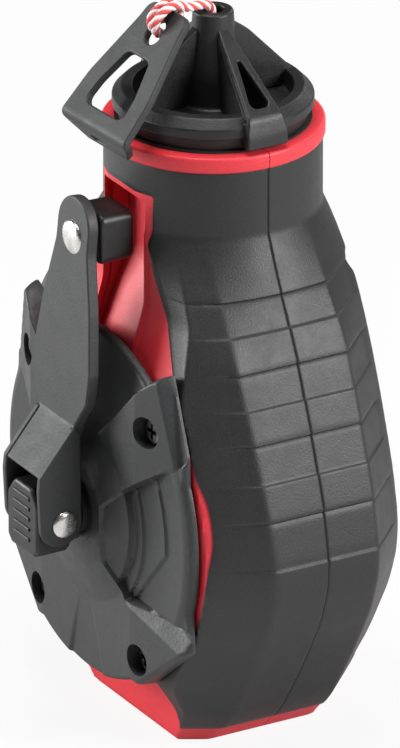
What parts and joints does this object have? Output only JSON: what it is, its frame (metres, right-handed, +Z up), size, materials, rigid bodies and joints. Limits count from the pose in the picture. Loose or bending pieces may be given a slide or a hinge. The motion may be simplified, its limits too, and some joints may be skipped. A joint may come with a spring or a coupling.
{
  "type": "chalk line reel",
  "caption": "Hand-held chalk line reel with a folding side crank, a geared spool in a faceted case, a screw-on filler cap and a line hook.",
  "frame": {"origin": "centre of the flat base the reel stands on, on the joint between its two case halves", "axes": "+Z up from the base to the cap, -Y towards the front where the crank is, +X to the right as seen from the front"},
  "size_m": [0.1246, 0.09, 0.2076],
  "materials": {
    "red_plastic": "satin moulded red plastic",
    "grip_rubber": "matte fine-grained overmoulded rubber",
    "seal_rubber": "plain black rubber",
    "dark_plastic": "matte moulded dark grey glass-filled plastic",
    "arm_plastic": "matte moulded dark grey plastic",
    "knob_plastic": "satin black plastic",
    "button_plastic": "satin black plastic",
    "hub_plastic": "matte dark grey plastic",
    "cap_plastic": "matte moulded dark grey plastic",
    "hook_metal": "dark grey coated sheet metal",
    "gear_plastic": "natural acetal",
    "bush_bronze": "plain sintered bronze",
    "screw_steel": "blackened steel",
    "bright_steel": "polished steel",
    "line_cotton": "red and white twisted cotton line",
    "felt": "wool felt"
  },
  "bodies": {
    "housing": {"front_shell": "red_plastic", "rear_shell": "red_plastic", "front_grip": "grip_rubber", "rear_grip": "grip_rubber", "case_seal": "seal_rubber", "case_screws": "screw_steel", "gear_cover": "dark_plastic", "cover_screws": "screw_steel", "cover_seal": "seal_rubber", "ring_gear": "gear_plastic", "front_bush": "bush_bronze", "rear_bush": "bush_bronze", "crank_bush": "gear_plastic", "line_lead": "line_cotton"},
    "crank": {"crank_hub": "hub_plastic", "hinge_pin": "bright_steel", "carrier": "gear_plastic", "planet_pins": "bright_steel", "button_spring": "bright_steel"},
    "planet_1": {"planet_gear_1": "gear_plastic"},
    "planet_2": {"planet_gear_2": "gear_plastic"},
    "planet_3": {"planet_gear_3": "gear_plastic"},
    "spool": {"spool": "gear_plastic", "spool_axle": "bright_steel", "sun_gear": "gear_plastic", "line_winding": "line_cotton"},
    "arm": {"crank_arm": "arm_plastic", "knob_rivet": "bright_steel"},
    "knob": {"crank_knob": "knob_plastic"},
    "button": {"push_button": "button_plastic"},
    "cap_seal": {"cap_gasket": "seal_rubber"},
    "cap": {"cap": "cap_plastic", "line_wiper": "felt", "wiper_retainer": "gear_plastic"},
    "hook": {"hook": "hook_metal", "line_end": "line_cotton"}
  },
  "joints": [
    {"name": "crank_spin", "type": "hinge", "parent": "housing", "child": "crank", "pos_m": [0, 0, 0.066], "axis": [0, 1, 0], "continuous": true},
    {"name": "planet_1_spin", "type": "hinge", "parent": "crank", "child": "planet_1", "pos_m": [0, 0, 0.0876], "axis": [0, 1, 0], "continuous": true},
    {"name": "planet_2_spin", "type": "hinge", "parent": "crank", "child": "planet_2", "pos_m": [-0.01871, 0, 0.0552], "axis": [0, 1, 0], "continuous": true},
    {"name": "planet_3_spin", "type": "hinge", "parent": "crank", "child": "planet_3", "pos_m": [0.01871, 0, 0.0552], "axis": [0, 1, 0], "continuous": true},
    {"name": "spool_spin", "type": "hinge", "parent": "housing", "child": "spool", "pos_m": [0, 0, 0.066], "axis": [0, 1, 0], "continuous": true},
    {"name": "arm_fold", "type": "hinge", "parent": "crank", "child": "arm", "pos_m": [0, -0.052, 0.066], "axis": [1, 0, 0], "range_deg": [0, 180]},
    {"name": "knob_spin", "type": "hinge", "parent": "arm", "child": "knob", "pos_m": [0, -0.035, 0.1444], "axis": [0, 1, 0], "continuous": true},
    {"name": "button_push", "type": "slide", "parent": "crank", "child": "button", "axis": [0, 1, 0], "range_m": [0, 0.0025], "stiffness_N_per_m": 600, "springref_m": -0.0015, "deforming": ["button_spring"]},
    {"name": "cap_turn", "type": "hinge", "parent": "housing", "child": "cap_seal", "pos_m": [0, 0, 0.171], "axis": [0, 0, 1], "range_deg": [-45, 0]},
    {"name": "cap_lift", "type": "slide", "parent": "cap_seal", "child": "cap", "axis": [0, 0, 1], "range_m": [0, 0.03]},
    {"name": "hook_pull", "type": "slide", "parent": "cap", "child": "hook", "axis": [0, 0, 1], "range_m": [0, 0.028]}
  ],
  "couplings": [
    {"joint": "spool_spin", "follows": "crank_spin", "ratio": 4},
    {"joint": "planet_1_spin", "follows": "crank_spin", "ratio": -3},
    {"joint": "planet_2_spin", "follows": "crank_spin", "ratio": -3},
    {"joint": "planet_3_spin", "follows": "crank_spin", "ratio": -3}
  ]
}
